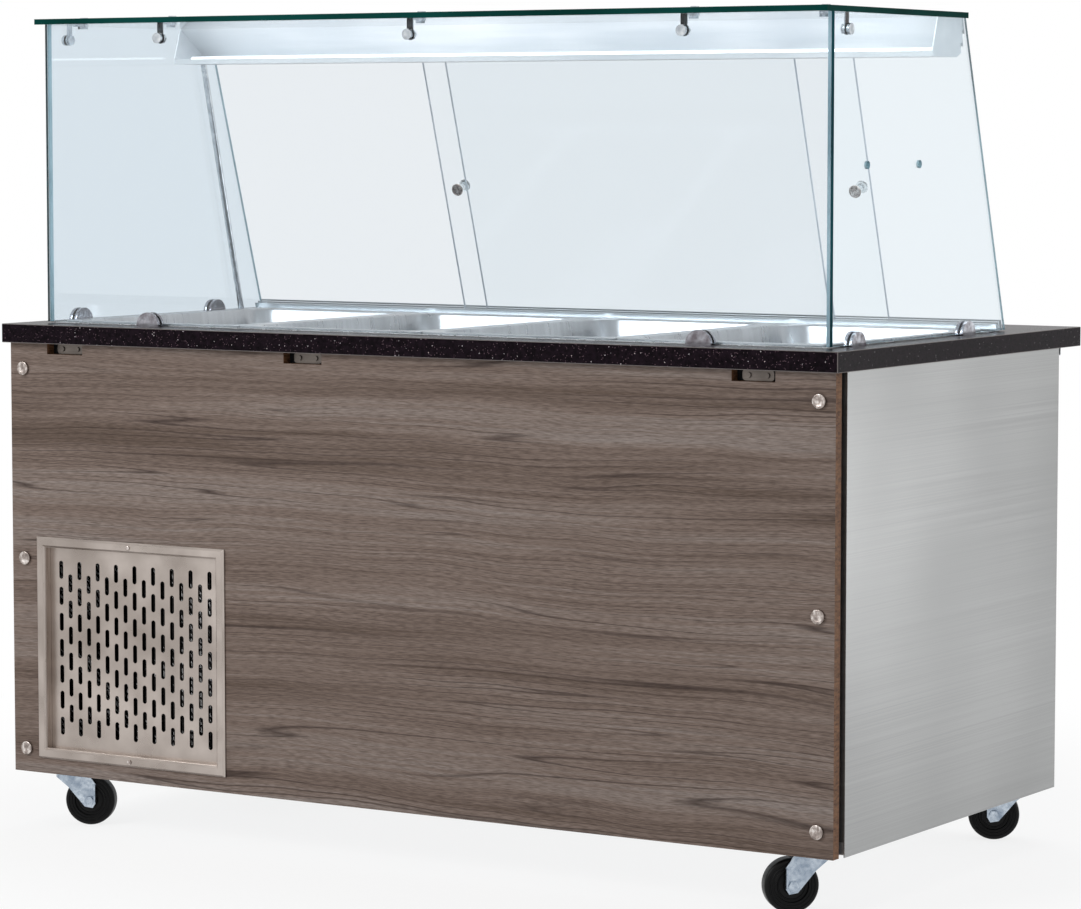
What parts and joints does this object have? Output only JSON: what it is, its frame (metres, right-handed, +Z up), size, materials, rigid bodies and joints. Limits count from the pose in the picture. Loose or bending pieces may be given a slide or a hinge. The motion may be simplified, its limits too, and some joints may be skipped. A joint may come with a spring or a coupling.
{
  "type": "mobile salad bar",
  "caption": "Mobile chilled salad bar with a stone worktop, wood front, steel pans and a glass guard on casters",
  "frame": {"origin": "on the floor under the centre of the worktop", "axes": "+X along the counter to the guests' right, -Y toward the guests, +Z up"},
  "size_m": [1.4, 0.763, 1.208],
  "materials": {
    "dark speckled stone": "polished engineered stone",
    "satin stainless steel": "satin, formed sheet",
    "brushed side steel": "brushed along its length",
    "grille steel": "satin, punched",
    "zinc plated steel": "bright zinc",
    "polished chrome": "polished",
    "grey walnut laminate": "low gloss laminate, grain along its length",
    "black painted batten": "matt black",
    "foam": "cut foam",
    "copper": "drawn tube",
    "black enamel": "semi gloss",
    "black moulded plastic": "moulded",
    "black rubber": "moulded",
    "clear glass": "clear, polished edges",
    "clear acrylic": "clear, turned",
    "lamp diffuser": "opal",
    "anodised aluminium": "satin anodised"
  },
  "bodies": {
    "cabinet": {"worktop": "dark speckled stone", "well_liner": "satin stainless steel", "well_insulation": "foam", "pan_divider_bars": "satin stainless steel", "cooling_coil": "copper", "base_tray": "satin stainless steel", "carcass_frame": "satin stainless steel", "side_panel_left": "brushed side steel", "side_panel_right": "brushed side steel", "front_panel": "grey walnut laminate", "panel_battens": "black painted batten", "panel_screws": "zinc plated steel", "rail_brackets": "satin stainless steel", "grille_frame": "grille steel", "grille_plate": "grille steel", "partition": "satin stainless steel", "shelf": "satin stainless steel", "compressor": "black enamel", "condenser": "anodised aluminium", "fan_shroud": "black enamel", "fan_motor": "black enamel", "refrigerant_pipes": "copper", "service_panel": "brushed side steel", "control_panel": "brushed side steel", "control_bodies": "black moulded plastic", "front_glass": "clear glass", "side_glass_left": "clear glass", "side_glass_right": "clear glass", "top_glass": "clear glass", "glass_shoes": "polished chrome", "glass_brackets": "polished chrome", "canopy_shell": "satin stainless steel", "canopy_end_plates": "satin stainless steel", "light_batten": "lamp diffuser", "conduit_post": "polished chrome", "top_track": "anodised aluminium", "bottom_track": "anodised aluminium", "caster_plates": "zinc plated steel"},
    "sliding_pane_front": {"sliding_pane_front": "clear glass", "pane_knob_front": "clear acrylic"},
    "sliding_pane_rear": {"sliding_pane_rear": "clear glass", "pane_knob_rear": "clear acrylic"},
    "storage_door_left": {"storage_door_left": "brushed side steel"},
    "storage_door_right": {"storage_door_right": "brushed side steel"},
    "fan": {"fan_blade": "black moulded plastic"},
    "light_switch": {"light_switch": "black moulded plastic"},
    "power_switch": {"power_switch": "black moulded plastic"},
    "thermostat_knob": {"thermostat_knob": "black moulded plastic"},
    "pan_1": {"pan_1": "satin stainless steel"},
    "pan_2": {"pan_2": "satin stainless steel"},
    "pan_3": {"pan_3": "satin stainless steel"},
    "pan_4": {"pan_4": "satin stainless steel"},
    "fork_front_left": {"fork_front_left": "zinc plated steel"},
    "wheel_front_left": {"wheel_front_left": "black rubber"},
    "fork_front_right": {"fork_front_right": "zinc plated steel"},
    "wheel_front_right": {"wheel_front_right": "black rubber"},
    "fork_rear_left": {"fork_rear_left": "zinc plated steel"},
    "wheel_rear_left": {"wheel_rear_left": "black rubber"},
    "fork_rear_right": {"fork_rear_right": "zinc plated steel"},
    "wheel_rear_right": {"wheel_rear_right": "black rubber"}
  },
  "joints": [
    {"name": "pan_1_lift", "type": "slide", "parent": "cabinet", "child": "pan_1", "axis": [0, 0, 1], "range_m": [0, 0.05]},
    {"name": "pan_2_lift", "type": "slide", "parent": "cabinet", "child": "pan_2", "axis": [0, 0, 1], "range_m": [0, 0.05]},
    {"name": "pan_3_lift", "type": "slide", "parent": "cabinet", "child": "pan_3", "axis": [0, 0, 1], "range_m": [0, 0.05]},
    {"name": "pan_4_lift", "type": "slide", "parent": "cabinet", "child": "pan_4", "axis": [0, 0, 1], "range_m": [0, 0.05]},
    {"name": "front_pane_slide", "type": "slide", "parent": "cabinet", "child": "sliding_pane_front", "axis": [1, 0, 0], "range_m": [-0.394, 0]},
    {"name": "rear_pane_slide", "type": "slide", "parent": "cabinet", "child": "sliding_pane_rear", "axis": [1, 0, 0], "range_m": [0, 0.172]},
    {"name": "left_door_hinge", "type": "hinge", "parent": "cabinet", "child": "storage_door_left", "pos_m": [-0.267, 0.3235, 0.41], "axis": [0, 0, 1], "range_deg": [0, 100]},
    {"name": "right_door_hinge", "type": "hinge", "parent": "cabinet", "child": "storage_door_right", "pos_m": [0.677, 0.3235, 0.41], "axis": [0, 0, -1], "range_deg": [0, 100]},
    {"name": "fan_spin", "type": "hinge", "parent": "cabinet", "child": "fan", "pos_m": [-0.472, -0.25, 0.273], "axis": [0, 1, 0], "continuous": true},
    {"name": "light_switch_rock", "type": "hinge", "parent": "cabinet", "child": "light_switch", "pos_m": [-0.56, 0.326, 0.677], "axis": [1, 0, 0], "range_deg": [0, 16]},
    {"name": "power_switch_rock", "type": "hinge", "parent": "cabinet", "child": "power_switch", "pos_m": [-0.5, 0.326, 0.677], "axis": [1, 0, 0], "range_deg": [0, 16]},
    {"name": "thermostat_turn", "type": "hinge", "parent": "cabinet", "child": "thermostat_knob", "pos_m": [-0.4, 0.33, 0.677], "axis": [0, 1, 0], "range_deg": [0, 270]},
    {"name": "front_left_swivel", "type": "hinge", "parent": "cabinet", "child": "fork_front_left", "pos_m": [-0.628, -0.313, 0.085], "axis": [0, 0, 1], "continuous": true},
    {"name": "front_left_roll", "type": "hinge", "parent": "fork_front_left", "child": "wheel_front_left", "pos_m": [-0.60273, -0.30095, 0.0375], "axis": [-0.4305, 0.9026, 0], "continuous": true},
    {"name": "front_right_swivel", "type": "hinge", "parent": "cabinet", "child": "fork_front_right", "pos_m": [0.628, -0.313, 0.085], "axis": [0, 0, 1], "continuous": true},
    {"name": "front_right_roll", "type": "hinge", "parent": "fork_front_right", "child": "wheel_front_right", "pos_m": [0.60719, -0.33174, 0.0375], "axis": [0.6691, -0.7431, 0], "continuous": true},
    {"name": "rear_left_swivel", "type": "hinge", "parent": "cabinet", "child": "fork_rear_left", "pos_m": [-0.628, 0.319, 0.085], "axis": [0, 0, 1], "continuous": true},
    {"name": "rear_left_roll", "type": "hinge", "parent": "fork_rear_left", "child": "wheel_rear_left", "pos_m": [-0.65225, 0.305, 0.0375], "axis": [0.5, -0.866, 0], "continuous": true},
    {"name": "rear_right_swivel", "type": "hinge", "parent": "cabinet", "child": "fork_rear_right", "pos_m": [0.628, 0.319, 0.085], "axis": [0, 0, 1], "continuous": true},
    {"name": "rear_right_roll", "type": "hinge", "parent": "fork_rear_right", "child": "wheel_rear_right", "pos_m": [0.60294, 0.30651, 0.0375], "axis": [0.4462, -0.8949, 0], "continuous": true}
  ]
}
